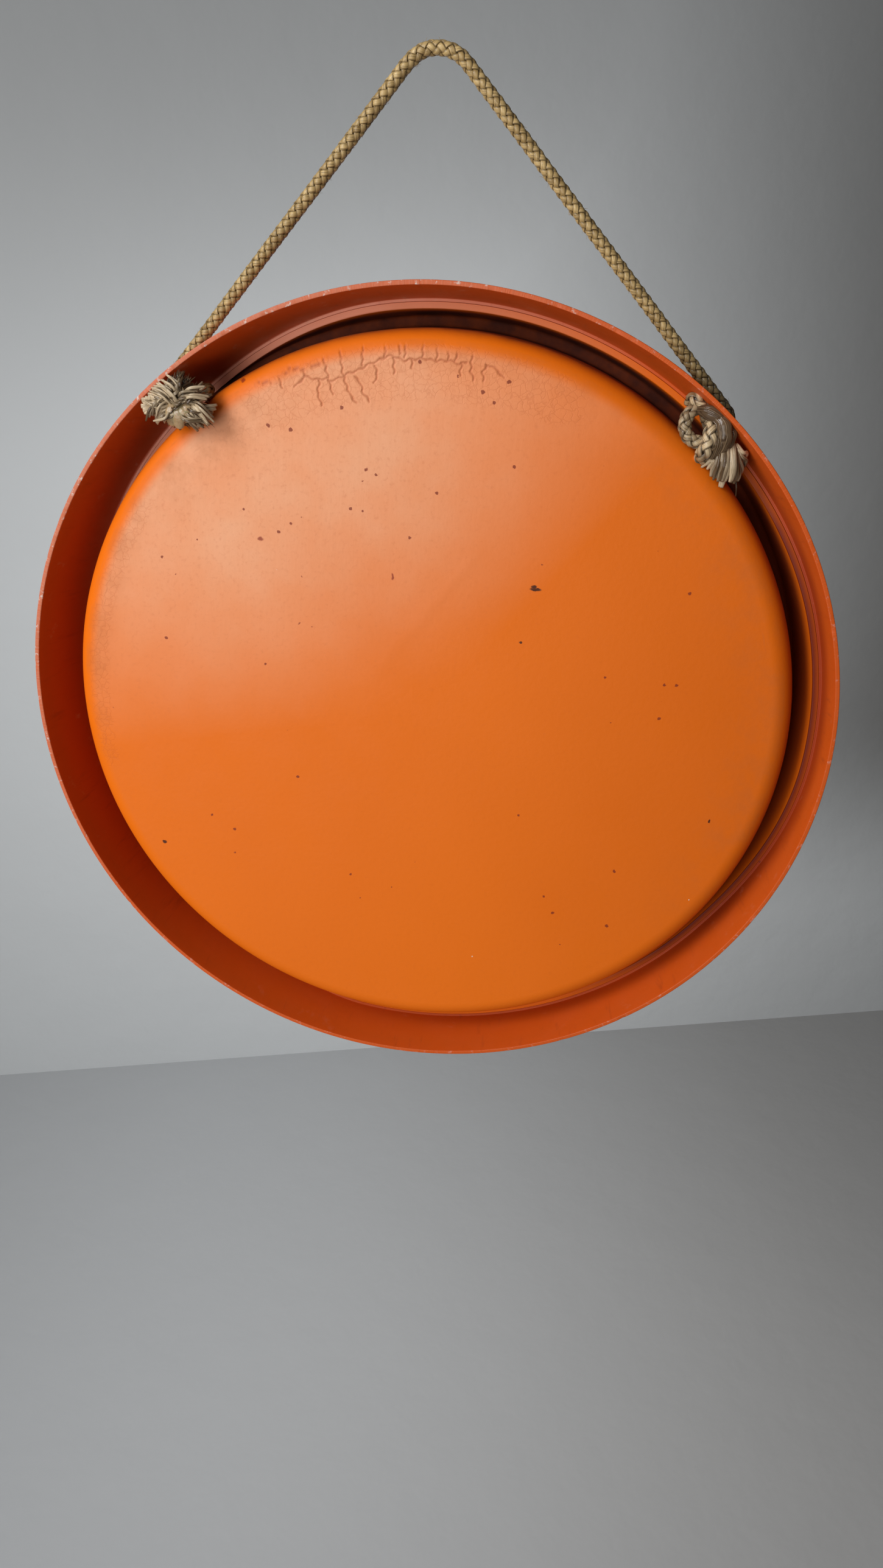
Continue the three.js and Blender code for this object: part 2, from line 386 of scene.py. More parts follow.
def unit(v):
    return v / np.maximum(np.linalg.norm(v, axis=-1, keepdims=True), 1e-9)


def carried_frames(path, start):
    """Two unit vectors square to the path at each point, carried along it without twist."""
    tangent = unit(np.gradient(path, axis=0))
    side = np.empty_like(path)
    v = np.asarray(start, float)
    for i, t in enumerate(tangent):
        v = v - t * (v @ t)
        v = v / np.linalg.norm(v)
        side[i] = v
    return side, np.cross(tangent, side)


def skin(centres, across, up, half_width, half_thick, sides=10, power=1.0):
    """A closed tube round a line, with an oval section of those half sizes at each point."""
    a = np.arange(sides) * TAU / sides
    c, s = np.cos(a), np.sin(a)
    c = np.sign(c) * np.abs(c) ** power
    s = np.sign(s) * np.abs(s) ** power
    rings = (
        centres[:, None]
        + across[:, None] * (half_width[:, None] * c)[..., None]
        + up[:, None] * (half_thick[:, None] * s)[..., None]
    )
    n = len(centres)
    i, j = np.meshgrid(np.arange(n - 1), np.arange(sides), indexing="ij")
    k = (j + 1) % sides
    faces = np.stack([i * sides + j, i * sides + k, (i + 1) * sides + k, (i + 1) * sides + j], -1)
    faces = faces.reshape(-1, 4).tolist()
    faces.append(list(range(sides))[::-1])
    faces.append(list(range((n - 1) * sides, n * sides)))
    return rings.reshape(-1, 3), faces


class Bundle:
    """Strands gathered into one mesh, each with its tone, soil and a coordinate along and across it."""

    def __init__(self):
        self.verts, self.faces, self.tone, self.soil, self.grain = [], [], [], [], []
        self.count = 0

    def strand(
        self, centres, across, up, half_width, half_thick, tone, soil=0.0, sides=10, power=1.0, start=0.0
    ):
        verts, faces = skin(centres, across, up, half_width, half_thick, sides, power)
        run = run_along(centres)
        beside = np.tile(np.cos(np.arange(sides) / sides * TAU), len(run)) * np.repeat(half_width, sides)
        self.verts.append(verts)
        self.faces += [[v + self.count for v in f] for f in faces]
        for kept, values in ((self.tone, tone), (self.soil, soil)):
            kept.append(np.repeat(np.broadcast_to(values, len(run)), sides))
        self.grain.append(np.stack([np.repeat(run + start, sides), beside, np.full(len(verts), start)], 1))
        self.count += len(verts)

    def piece(self, name, material, place=on_disc):
        return make_piece(
            name,
            place(np.vstack(self.verts)),
            self.faces,
            material,
            tone=np.concatenate(self.tone),
            soil=np.concatenate(self.soil),
            grain=np.vstack(self.grain) * UNIT,
        )


def braid(bundle, points, rng, radius=CORD_RADIUS, soil=None, start=(0, 1, 0)):
    """Eight strands, four each way, plaited one over one round a path, on a plain core coloured dark as
    painted shade between the strands.
    """
    path, run = smooth_path(points, 0.25)
    side, other = carried_frames(path, start)
    soil = np.zeros(len(run)) if soil is None else soil(run)
    scale = radius / CORD_RADIUS
    omega = TAU / (BRAID_LAY * scale)
    knots = np.arange(0, run[-1] + 9, 4)
    for k in range(8):
        way = 1 if k < 4 else -1
        rise = way * np.cos(4 * omega * run)
        theta = way * omega * run + (k % 4) * TAU / 4 + rng.normal(0, 0.03)
        outward = side * np.cos(theta)[:, None] + other * np.sin(theta)[:, None]
        centres = path + outward * (scale * (STRAND_ORBIT + 0.2 * rise))[:, None]
        ahead = unit(np.gradient(centres, axis=0))
        across = unit(np.cross(ahead, outward))
        up = np.cross(across, ahead)
        slow = np.interp(run, knots, rng.uniform(-1, 1, len(knots)))
        bundle.strand(
            centres,
            across,
            up,
            scale * (STRAND_HALF_WIDTH + 0.07 * rise + 0.03 * slow),
            scale * (STRAND_HALF_THICKNESS + 0.02 * slow),
            # Painted highlight: a strand is paler where it rises over the others; the rest of its tone
            # varies at random.
            tone=0.42 + 0.16 * rise + 0.22 * slow + rng.uniform(-0.12, 0.12),
            soil=soil,
            start=rng.uniform(0, 500),
        )
    # The core is coloured dark as painted shade in the gaps between the strands.
    core = np.full(len(run), scale * CORE_RADIUS)
    bundle.strand(path, side, other, core, core, tone=0.0, soil=1.0, sides=12)
    return path, run


def ribbon(bundle, points, rng, width, thick=0.35, tone=0.5, soil=0.0, tip=0.75):
    """A flat strand of loose fibres along a path, with its flat side to the viewer."""
    path, run = smooth_path(points, 0.45)
    side, _ = carried_frames(path, np.cross(np.gradient(path, axis=0)[0], TO_VIEWER) + 1e-6)
    ahead = unit(np.gradient(path, axis=0))
    up = np.cross(side, ahead)
    t = run / run[-1]
    shape = np.interp(t, [0, 0.15, 0.8, 1], [0.7, 1, 1, tip])
    bundle.strand(
        path,
        side,
        up,
        0.5 * width * shape,
        thick * shape,
        tone=np.clip(tone + 0.15 * np.sin(3 * t + rng.uniform(0, 6)), 0, 1),
        soil=soil,
        sides=8,
        power=0.7,
        start=rng.uniform(0, 500),
    )


# ---- materials


# The pinkish colour of the painted sheen at the upper left, and marks on the plateau: each mark's centre
# and half size.
PINK = (0.92, 0.38, 0.25)
DEBRIS = [
    ((29.4, 2.5, 40.4), (1.5, 9, 0.42)),
    ((28.9, 2.5, 41.1), (0.75, 9, 0.5)),
    ((26.6, 2.5, 24.9), (0.42, 9, 0.35)),
    ((87.0, 2.9, -24.1), (0.35, 9, 0.6)),
    ((-80.3, 2.8, -51.0), (0.7, 9, 0.55)),
]
RUST = [
    ((-48.9, 2.5, 47.9), (0.85, 9, 0.6)),
    ((-10.9, 2.4, 40.5), (0.3, 9, 0.9)),
    ((-54.5, 2.6, 89.5), (0.8, 9, 0.5)),
]


def liner_plastic():
    s = Shader("liner_orange", "place")
    x, _, z = s.parts(s.place)
    around = s.times(s.math("ARCTAN2", x, z), 105)
    radius = s.vector("LENGTH", s.vector("MULTIPLY", s.place, (1, 0, 1)))
    top, chalk, soot = (s.attribute(name) for name in ("top", "chalk", "soot"))
    base = s.mix(s.noise(60, 2), (0.86, 0.174, 0.004), (0.81, 0.158, 0.003))
    # Painted shade: the face darkens towards the right, away from the light.
    base = s.mix(s.fit(x, 0, 105, 0, 0.4), base, (0.60, 0.100, 0.003))

    # Faint fine crazing between the carved cracks and down the left edge.
    fine = s.fit(s.cells(2.0, "DISTANCE_TO_EDGE", s.warp(2.2, 2.6)), 0.09, 0.01)
    fine = s.times(fine, s.fit(s.plus(s.attribute("crazed"), s.noise(6, 2)), 0.95, 1.25), 0.3)

    # Small dark specks and a few pale ones.
    chance, weight, _ = s.parts(s.cells(3.4, "F1", output="Color"))
    dot = s.cells(3.4, "F1", s.warp(0.9, 0.8))
    many = s.plus(s.fit(s.noise(30, 2), 0.45, 0.7, 0.03, 0.16), s.times(chalk, 0.16))
    dark = s.fit(s.math("SUBTRACT", dot, s.times(weight, weight, 0.17)), 0.05, 0.01)
    dark = s.times(dark, s.math("LESS_THAN", chance, many), top)
    pale = s.times(s.fit(dot, 0.08, 0.04), s.math("GREATER_THAN", chance, 0.988), top)
    wavy = s.warp(1.2, 0.9)

    # Grey grime in soft patches near the edge, heaviest by the knots.
    near = s.attribute("grime")
    streak = s.noise(1, 3, 0.6, s.join(s.math("DIVIDE", around, 9), 0, s.math("DIVIDE", radius, 1.1)))
    grime = s.any_of(
        s.times(near, s.fit(s.noise(9, 4, 0.65), 0.35, 0.75)),
        s.times(near, s.fit(streak, 0.55, 0.75), 0.6),
    )

    mottle = s.times(s.fit(s.noise(1.3, 4, 0.7), 0.5, 0.75), s.plus(chalk, 0.4), top)
    blotchy = s.fit(s.noise(7, 3), 0.2, 0.8, 0.6, 0.95)
    colour = s.layers(
        base,
        # painted sheen: paler over the upper left of the face
        (s.times(chalk, s.fit(s.noise(16, 4), 0.2, 0.9, 0.7, 1.0)), (0.86, 0.40, 0.215)),
        (s.times(mottle, 0.16), (0.40, 0.085, 0.02)),
        (s.times(grime, 0.36), (0.34, 0.11, 0.035)),
        (s.times(fine, 0.5), (0.45, 0.085, 0.02)),
        (s.times(s.attribute("crack"), 0.62), (0.36, 0.075, 0.022)),
        (s.times(dark, 0.85), (0.22, 0.028, 0.010)),
        (s.times(pale, 0.8), (0.85, 0.75, 0.6)),
        # painted sheen: the lip is paler and pinker at the upper left
        (s.times(s.attribute("lip"), s.attribute("pink"), 0.85), PINK),
        (s.times(s.blots(wavy, RUST), 0.8), (0.25, 0.02, 0.008)),
        (s.times(s.blots(wavy, DEBRIS), 0.92), (0.03, 0.008, 0.005)),
        (s.attribute("shade"), (0.15, 0.014, 0.003)),
        (s.times(s.attribute("edge_dirt"), blotchy), (0.12, 0.020, 0.006)),
        (s.attribute("stain"), (0.30, 0.030, 0.010)),
        (s.times(soot, s.fit(s.noise(9, 4, 0.65), 0.2, 0.75, 0.55, 1.0)), (0.07, 0.016, 0.010)),
    )
    drawn = s.noise(1, 3, 0.6, s.vector("MULTIPLY", s.place, (1 / 1.4, 1, 1 / 7)))
    normal = s.bump(s.noise(1.6, 3), 0.05, 0.8)
    normal = s.bump(s.times(drawn, chalk), 0.05, 0.9, normal)
    normal = s.bump(s.times(fine, -1), 0.10, 0.8, normal)
    rough = s.plus(0.46, s.fit(s.noise(11, 4), 0.25, 0.8, 0.0, 0.10), s.times(s.any_of(grime, soot), 0.25))
    return s.finish(Base_Color=colour, Roughness=rough, Normal=normal, Specular_IOR_Level=0.24)


def shell_plastic():
    s = Shader("shell_orange", "place")
    x, depth, z = s.parts(s.place)
    around = s.times(s.math("ARCTAN2", x, z), 117)
    rim, wear, pink = (s.attribute(name) for name in ("rim", "wear", "pink"))
    base = s.mix(s.noise(50, 2), (0.66, 0.100, 0.008), (0.61, 0.088, 0.007))

    # The rim's end face has saw marks across it and chalky chips, and thin dirt streaks run down the wall.
    saw = s.noise(1, 2, 0.7, s.join(s.math("DIVIDE", around, 0.55), s.math("DIVIDE", depth, 6), 0))
    chips = s.times(rim, wear, s.fit(s.noise(2.2, 4, 0.7), 0.56, 0.66))
    streak = s.noise(1, 4, 0.65, s.join(s.math("DIVIDE", around, 3), s.math("DIVIDE", depth, 14), 0))
    chance = s.parts(s.cells(7, "F1", output="Color"))[0]
    specks = s.times(s.fit(s.cells(7, "F1", s.warp(2, 1)), 0.085, 0.03), s.math("LESS_THAN", chance, 0.16))
    colour = s.layers(
        base,
        (s.attribute("shade"), (0.33, 0.036, 0.003)),
        # painted sheen: the rim's end face and the ledge are paler and pinker at the upper left
        (s.times(rim, pink, s.fit(saw, 0.3, 0.7, 0.3, 0.75)), (0.62, 0.23, 0.14)),
        (s.times(chips, 0.8), (0.75, 0.66, 0.6)),
        (s.times(s.attribute("ledge"), pink, 0.85), PINK),
        (s.times(s.fit(streak, 0.55, 0.8), 0.35), (0.20, 0.03, 0.012)),
        (s.times(specks, 0.85), (0.06, 0.012, 0.008)),
        (s.times(s.fit(s.noise(6, 5, 0.7), 0.6, 0.72), wear, 0.3), (0.72, 0.35, 0.22)),
    )
    normal = s.bump(s.times(saw, rim), 0.12, 0.8)
    normal = s.bump(s.noise(1.8, 3), 0.03, 0.5, normal)
    normal = s.bump(s.noise(14, 3), 0.35, 0.4, normal)
    rough = s.plus(0.42, s.fit(s.noise(8, 4), 0.3, 0.75, 0.0, 0.14))
    return s.finish(Base_Color=colour, Roughness=rough, Normal=normal, Specular_IOR_Level=0.32)


def cord_fibre(name, dark, mid, light, rough, edges=(0.42, 0.8)):
    """Shiny fibres. Painted shade darkens each strand towards its sides, as in the dark gaps between
    strands; it starts and ends at the two given distances from a strand's middle.
    """
    s = Shader(name)
    x, y, z = s.parts(s.vector("SCALE", s.attribute("grain", "Vector"), 1 / UNIT))
    threads = s.noise(1, 3, 0.6, s.join(s.math("DIVIDE", x, 4), s.math("DIVIDE", y, 0.16), z))
    colour = s.layers(
        mid,
        (s.fit(s.plus(s.attribute("tone"), s.times(threads, 0.5)), 0.3, 1.2), light),
        (s.fit(threads, 0.52, 0.25, 0.0, 0.75), dark),
        (s.times(s.fit(s.math("ABSOLUTE", y), *edges), 0.7), dark),
        (s.times(s.attribute("soil"), s.fit(s.noise(3, 3), 0.3, 0.7, 0.55, 1.0)), (0.035, 0.022, 0.014)),
    )
    normal = s.bump(threads, 0.10, 0.8)
    return s.finish(Base_Color=colour, Roughness=rough, Normal=normal, Specular_IOR_Level=0.4)


def stage_cloth(name, pale, dim, low, high, foot=1.0):
    """Cloth that goes from pale at the left to darker at the right, by the share foot near the floor: a
    painted falloff of the light.
    """
    s = Shader(name)
    x, _, z = s.parts(s.place)
    above_floor = s.fit(z, -793, -505, foot, 1.0)
    high_up = s.fit(z, -265, 119, 0.0, 0.3)
    colour = s.mix(s.any_of(s.times(s.fit(x, low, high), above_floor), high_up), pale, dim)
    bump = s.bump(s.noise(70, 4), 8, 0.25)
    return s.finish(Base_Color=colour, Roughness=0.9, Normal=bump, Specular_IOR_Level=0.2)


# ---- stage


def make_stage():
    """A pale floor and an upright backdrop that crosses the view at a slight angle."""
    along = (BACKDROP_RIGHT - BACKDROP_LEFT).normalized() * BACKDROP_MARGIN
    a, b = BACKDROP_LEFT - along, BACKDROP_RIGHT + along
    up = Vector((0, 0, BACKDROP_HEIGHT))
    wall_cloth = stage_cloth("wall_cloth", (0.66, 0.68, 0.69), (0.115, 0.108, 0.10), -260, 650, foot=0.18)
    wall = make_piece("backdrop", [a, b, b + up, a + up], [[0, 1, 2, 3]], wall_cloth)
    near = Vector((0, -FLOOR_REACH, 0))
    floor_cloth = stage_cloth("floor_cloth", (0.50, 0.51, 0.52), (0.36, 0.355, 0.35), -425, 375)
    floor = make_piece("floor", [a + near, b + near, b, a], [[0, 1, 2, 3]], floor_cloth)


# ---- the plastic parts


def near_angle(angles, centre, half, soft):
    """1 within half degrees of centre, falling to 0 over soft degrees more."""
    gap = np.abs((np.degrees(angles) - centre + 180) % 360 - 180)
    return np.clip((half + soft - gap) / soft, 0, 1)


def ease(value, low, high):
    t = np.clip((value - low) / (high - low), 0, 1)
    return t * t * (3 - 2 * t)


def askew(points, angles):
    """The liner sits askew: the ledge lies deeper at the left and nearer the rim at the right."""
    left = near_angle(angles, -90, 46, 36)
    right = near_angle(angles, 82, 10, 35)
    sink = LEFT_SINK * ease(left, 0, 1) - RIGHT_RISE * ease(right, 0, 1)
    radius, depth = np.hypot(points[:, 0], points[:, 2]), points[:, 1]
    share = np.interp(depth, [0, LEDGE_DEPTH, 27.7], [0, 1, 0])
    inside = (radius > GROOVE_OUTER_RADIUS - 0.1) & (radius < RIM_RADIUS - SKIRT_DRAFT * depth - 0.7)
    shift = np.where(inside, sink * share, 0)
    scale = 1 - SKIRT_DRAFT * shift / np.maximum(radius, 1)
    return np.stack([points[:, 0] * scale, depth + shift, points[:, 2] * scale], 1)


def ripple(rng, angles, waves):
    """A gentle sum of waves round the disc, between about -1 and 1."""
    return sum(math.sqrt(1 / k) * np.sin(k * angles + rng.uniform(0, TAU)) for k in waves) / len(waves)


def drill_holes(piece):
    """The two cord holes through the skirt."""
    for side in (-1, 1):
        outward = hole_way(side)
        middle = outward * SKIRT_MIDDLE_RADIUS + np.array([0, HOLE_DEPTH, 0])
        bpy.ops.mesh.primitive_cylinder_add(
            vertices=40, radius=HOLE_RADIUS * UNIT, depth=DRILL_LENGTH * UNIT
        )
        cutter = bpy.context.object
        cutter.rotation_euler = Vector(TURN @ outward).to_track_quat("Z", "Y").to_euler()
        cutter.location = on_disc([middle])[0]
        cut = piece.modifiers.new("hole", "BOOLEAN")
        cut.object = cutter
        cut.solver = "EXACT"
        bpy.context.view_layer.objects.active = piece
        bpy.ops.object.modifier_apply(modifier=cut.name)
        bpy.data.objects.remove(cutter)


def pinkness(angles):
    """Painted sheen: the rim and the ledges are paler and pinker on the upper left, where the light is
    reflected.
    """
    return near_angle(angles, -50, 28, 52)


def make_shell():
    rng = np.random.default_rng(4)
    foot = RIM_RADIUS - RIM_THICKNESS - SKIRT_DRAFT * LEDGE_DEPTH
    corners = [
        (0, SHELL_INNER_DEPTH, 0),
        (BACK_INNER_RADIUS, SHELL_INNER_DEPTH, 1.6),
        (foot - 0.72, LEDGE_DEPTH, 0.08),
        (foot, LEDGE_DEPTH, 0.2),
        (foot + 0.7 * SKIRT_DRAFT, LEDGE_DEPTH - 0.7, 0),
        (RIM_RADIUS - RIM_THICKNESS - 0.5 * SKIRT_DRAFT, 0.5, 0),
        (RIM_RADIUS - RIM_THICKNESS, 0, 0.22),
        (RIM_RADIUS, 0, 0.3),
        (RIM_RADIUS - 0.5 * SKIRT_DRAFT, 0.5, 0),
        (RIM_RADIUS - SKIRT_DRAFT * SHELL_DEPTH, SHELL_DEPTH, SHOULDER_ROUNDING),
        (0, SHELL_DEPTH, 0),
    ]
    profile = rounded(corners, 2.4)
    points, angles, faces = turned(profile, np.arange(1080) * TAU / 1080)
    depth = points[:, 1].copy()
    radius = np.hypot(points[:, 0], points[:, 2])
    rim = (depth < 0.12) & (radius > BACK_INNER_RADIUS)
    inner = (radius < RIM_RADIUS - SKIRT_DRAFT * depth - 0.6) & (radius > BACK_INNER_RADIUS)
    inner = inner & (depth > 0.3) & (depth < LEDGE_DEPTH + 0.5)
    ledge = (np.abs(depth - LEDGE_DEPTH) < 0.2) & (radius > BACK_INNER_RADIUS)

    # The skirt is slightly out of round and its rim has been knocked.
    skirt = ease(radius, 60, 112)
    grow = 0.10 * ripple(rng, angles, (3, 5, 8)) * skirt * ease(depth, 30, 0)
    nick = np.zeros(len(points))
    for _ in range(70):
        where = rng.normal(-48, 30) if rng.random() < 0.65 else rng.uniform(-180, 180)
        width = rng.uniform(0.12, 0.45)
        size = rng.uniform(0.05, 0.28)
        edge = rng.choice([RIM_RADIUS, RIM_RADIUS - RIM_THICKNESS])
        reach = np.exp(-(((radius - edge) / 0.5) ** 2))
        gap = (np.degrees(angles) - where + 180) % 360 - 180
        nick = np.maximum(nick, size * reach * np.exp(-((gap / width) ** 2)))
    top = ease(depth, 0.7, 0.1)
    scale = 1 + grow / np.maximum(radius, 1)
    moved = askew(points, angles) * np.stack([scale, np.ones_like(scale), scale], 1)
    moved[:, 1] += nick * top + 0.05 * ripple(rng, angles, (2, 3, 7)) * skirt
    near = partial(near_angle, angles)
    wear = np.clip(0.25 + near(-48, 35, 40), 0, 1)
    shade = np.maximum(near(92, 30, 30), 0.4 * near(190, 40, 30)) * ease(depth, 5, 15)
    piece = make_piece(
        "outer_shell_worn",
        on_disc(moved),
        faces,
        shell_plastic(),
        weld=True,
        place=points * UNIT,
        rim=rim,
        shade=shade * inner,
        ledge=ledge,
        wear=wear,
        pink=pinkness(angles),
    )
    drill_holes(piece)
    return declare(piece, "outer_shell")


# Cracks along the upper edge of the pan's face, as x and z. Many of them run into one another.
CRACKS = [
    [(-15.6, 100.5), (-15.6, 98.1), (-18.7, 96.5), (-21, 95.4), (-23.7, 93.9)],
    [(-23.7, 93.9), (-25.8, 93.1), (-28.3, 91.8), (-30.3, 91)], [(-21.7, 100.2), (-21.5, 95.7)],
    [(-27.6, 98.6), (-26.8, 93.9), (-25.3, 89.2), (-22.7, 86)],
    [(-32.1, 97), (-30.6, 91.8), (-29.3, 88.1)],
    [(-30.6, 91.8), (-33.4, 91.3), (-36.9, 91.8), (-37.7, 93.4), (-36.4, 94.4), (-32.4, 95.2)],
    [(-36.9, 91.8), (-39.5, 89.2)],
    [(-37.7, 93.4), (-40.7, 93.6), (-43, 91.8), (-44, 90.8), (-43, 88.7)],
    [(-40.7, 93.6), (-41.5, 94.4)], [(-50.6, 89.2), (-46.6, 89.7), (-44.6, 89.5)],
    [(-15.6, 98.1), (-13.6, 98.6), (-10.5, 97.6), (-8, 98.1), (-5, 98.4)],
    [(-5, 98.4), (-1.9, 98.1), (1.6, 98.4), (4.2, 97.6)], [(4.2, 97.6), (6.2, 98.4)],
    [(-13.3, 98.1), (-13, 94.4)], [(-8.5, 97.8), (-8.3, 95.7)], [(4.7, 97.6), (4.4, 94.7)],
    [(7.2, 99.7), (7.2, 96), (8.2, 93.9)], [(-11.8, 101), (-11.8, 99)],
    [(-10.3, 101.3), (-10.3, 98.5)], [(-5.7, 101.3), (-5.7, 98.7)], [(-1.9, 100.8), (-1.9, 98.4)],
    [(3.2, 100.3), (3, 98.2)], [(0.9, 100.4), (1.2, 98.5)], [(11.3, 98.1), (10.3, 96), (10.8, 93.9)],
    [(11.3, 98.1), (14.3, 96.8), (15.9, 95)], [(-21.7, 91), (-21, 88.7), (-19.2, 86.6)],
    [(-23.7, 92.9), (-21.7, 90.8)], [(-18.2, 96), (-17.4, 93.4), (-18.2, 91.8)],
    [(-32.9, 91.3), (-33.4, 87.6), (-32.1, 85)],
]


def crack_share(points, where, half):
    """1 in the middle of a crack, falling to 0 beside it."""
    share = np.zeros(len(points))
    here = points[where][:, [0, 2]]
    wander = 0.22 * np.stack([np.sin(here[:, 1] * 2.7), np.sin(here[:, 0] * 2.3)], 1)
    here = here + wander
    nearest = np.full(len(here), 9.0)
    for line in CRACKS:
        for a, b in zip(np.array(line), np.array(line[1:])):
            along = np.clip((here - a) @ (b - a) / ((b - a) @ (b - a)), 0, 1)
            nearest = np.minimum(nearest, np.linalg.norm(here - a - along[:, None] * (b - a), axis=1))
    share[where] = np.exp(-((nearest / half) ** 2))
    return share


def make_liner():
    rng = np.random.default_rng(9)
    lip = RIM_RADIUS - RIM_THICKNESS - SKIRT_DRAFT * LEDGE_DEPTH - 0.82
    edge = PLATEAU_RADIUS - PLATEAU_EDGE
    arc = [
        (edge + PLATEAU_EDGE * math.sin(a), PLATEAU_DEPTH + PLATEAU_EDGE * (1 - math.cos(a)), 0)
        for a in np.linspace(0, math.pi / 2, 13)
    ]
    rings = [*np.linspace(0, 84, 45), *np.arange(84.25, edge, 0.25), edge]
    crown = [(r, PLATEAU_DEPTH - PLATEAU_CROWN * (1 - (r / edge) ** 2), 0) for r in rings]
    corners = [
        *crown[:-1],
        *arc,
        (PLATEAU_RADIUS, GROOVE_DEPTH, 0.9),
        (GROOVE_OUTER_RADIUS, GROOVE_DEPTH, 0.9),
        (LEDGE_INNER_RADIUS, LEDGE_DEPTH, 0.35),
        (lip, LEDGE_DEPTH, 0.08),
        (109.6, LINER_BACK_DEPTH, 1.5),
        (PLATEAU_RADIUS - LINER_WALL, LINER_BACK_DEPTH, 0.3),
        (PLATEAU_RADIUS - LINER_WALL, 9.0, 4.0),
        (edge, PLATEAU_DEPTH + LINER_WALL, 0),
        (0, PLATEAU_DEPTH - PLATEAU_CROWN + LINER_WALL, 0),
    ]
    profile = rounded(corners, 2.2)
    coarse = np.arange(12, 324, 0.3)
    fine = np.arange(324, 372, 0.13)
    points, angles, faces = turned(profile, np.radians(np.concatenate([coarse, fine])))
    depth = points[:, 1].copy()
    radius = np.hypot(points[:, 0], points[:, 2])
    x, z = points[:, 0], points[:, 2]
    front = depth < PLATEAU_DEPTH + 0.9 - 0.6 * (1 - (radius / edge) ** 2)
    top = front & (radius < edge + 0.5)

    # The pan's face is gently uneven and has one straight fold across it.
    moved = askew(points, angles)
    cracked = front & (radius > 83) & (radius < 103)
    crack = crack_share(points, cracked, CRACK_HALF_WIDTH)
    lips = crack_share(points, cracked, 0.7)
    swell = 0.10 * np.sin(x / 17 + 1.3) * np.sin(z / 21 + 0.4) + 0.05 * np.sin(x / 7.5 + z / 9.5)
    a, b = np.array([11.1, 47.1]), np.array([-15.8, 10.8])
    along = (b - a) / np.linalg.norm(b - a)
    t = (x - a[0]) * along[0] + (z - a[1]) * along[1]
    off = (x - a[0]) * along[1] - (z - a[1]) * along[0]
    length = np.linalg.norm(b - a)
    fold = 0.07 * ease(t, -6, 4) * ease(t, length + 8, length - 4) * np.exp(-((off / 1.3) ** 2))
    moved[:, 1] += (swell - fold) * front * ease(radius, edge + 2, edge - 8)
    moved[:, 1] += 0.20 * crack - 0.08 * np.maximum(lips - crack, 0)

    near = partial(near_angle, angles)
    crazed = near(-6, 22, 16) * ease(radius, 84, 92)
    crazed = np.maximum(crazed, 0.9 * near(-80, 20, 12) * ease(radius, 93, 98)) * ease(radius, 103, 101.5)
    # Painted sheen: the face is paler over its upper left, where the light is reflected; more specks,
    # mottling and fine streaks lie in the same area.
    chalk = near(-32, 24, 46) * ease(radius, 5, 78) * ease(radius, edge + 2.5, edge - 1)
    grime = np.maximum.reduce(
        [
            near(-40, 8, 12) * ease(radius, 84, 99),
            near(-70, 20, 20) * ease(radius, 92, 101) * 0.7,
            near(75, 30, 30) * ease(radius, 80, 101) * 0.6,
            near(15, 20, 30) * ease(radius, 92, 101) * 0.5,
        ]
    ) * ease(radius, 106, 103)
    in_groove = (radius > PLATEAU_RADIUS - 0.3) & (radius < 110.9)
    in_groove = in_groove & (depth > LEDGE_DEPTH + 0.2) & (depth < 28)
    high = near(-5, 40, 40)
    soot = np.where(in_groove, ease(depth, 17, 22), 0) * (0.1 + 0.9 * high)
    # Painted shade: darker deeper down the groove, all the way round.
    stain = np.where(in_groove, ease(depth, 16, 21), 0) * 0.6
    # Painted shade: the plateau's rounded edge darkens down its side, over the top and the right.
    on_edge = (radius > edge - 0.1) & (radius < PLATEAU_RADIUS + 0.2) & (depth < 27)
    edge_dirt = np.where(on_edge, ease(depth, 3.9, 9.0), 0) * near(38, 78, 26)
    lip_face = (np.abs(depth - LEDGE_DEPTH) < 0.25) & (radius > 110)
    shade = np.where(lip_face, near(95, 38, 22), 0)
    shade = shade * (1 - 0.35 * ease(radius, 110.9, 112.2))
    piece = make_piece(
        "inner_liner_worn",
        on_disc(moved),
        faces,
        liner_plastic(),
        weld=True,
        place=points * UNIT,
        top=top,
        chalk=chalk * front,
        crack=crack,
        crazed=crazed * front,
        grime=grime * front,
        soot=soot,
        stain=stain,
        lip=lip_face,
        shade=shade,
        edge_dirt=edge_dirt,
        pink=pinkness(angles),
    )
    return declare(piece, "inner_liner")


# ---- the cord


def neck_points(side, depth_in):
    """From inside the skirt out through a hole and round the corner at its mouth, in the disc's frame."""
    outward = hole_way(side)
    corner = outward * CORNER_RADIUS + np.array([0, HOLE_DEPTH, 0])
    return [corner - outward * depth_in, corner - outward * 5.2, corner - outward * 2.6], corner


def cord_path():
    """The cord's centreline from the left knot over the bend to the right knot, drawn in the row frame."""
    ends = []
    for side in (-1, 1):
        inner, corner = neck_points(side, 8.0)
        inner = on_disc(inner) / UNIT
        corner = on_disc([corner])[0] / UNIT
        route = CORD_ROUTE if side < 0 else CORD_ROUTE[::-1]
        leg = unit(np.array([route[0][0], 0, route[0][1]]) / ENLARGE - corner)
        ends.append([*inner, corner - unit(corner - inner[-1]) * 0.8 + leg * 0.8, corner + leg * 2.6])
    middle = [np.array([x, 0, z]) / ENLARGE for x, z in CORD_ROUTE]
    return [*ends[0], *middle, *ends[1][::-1]]


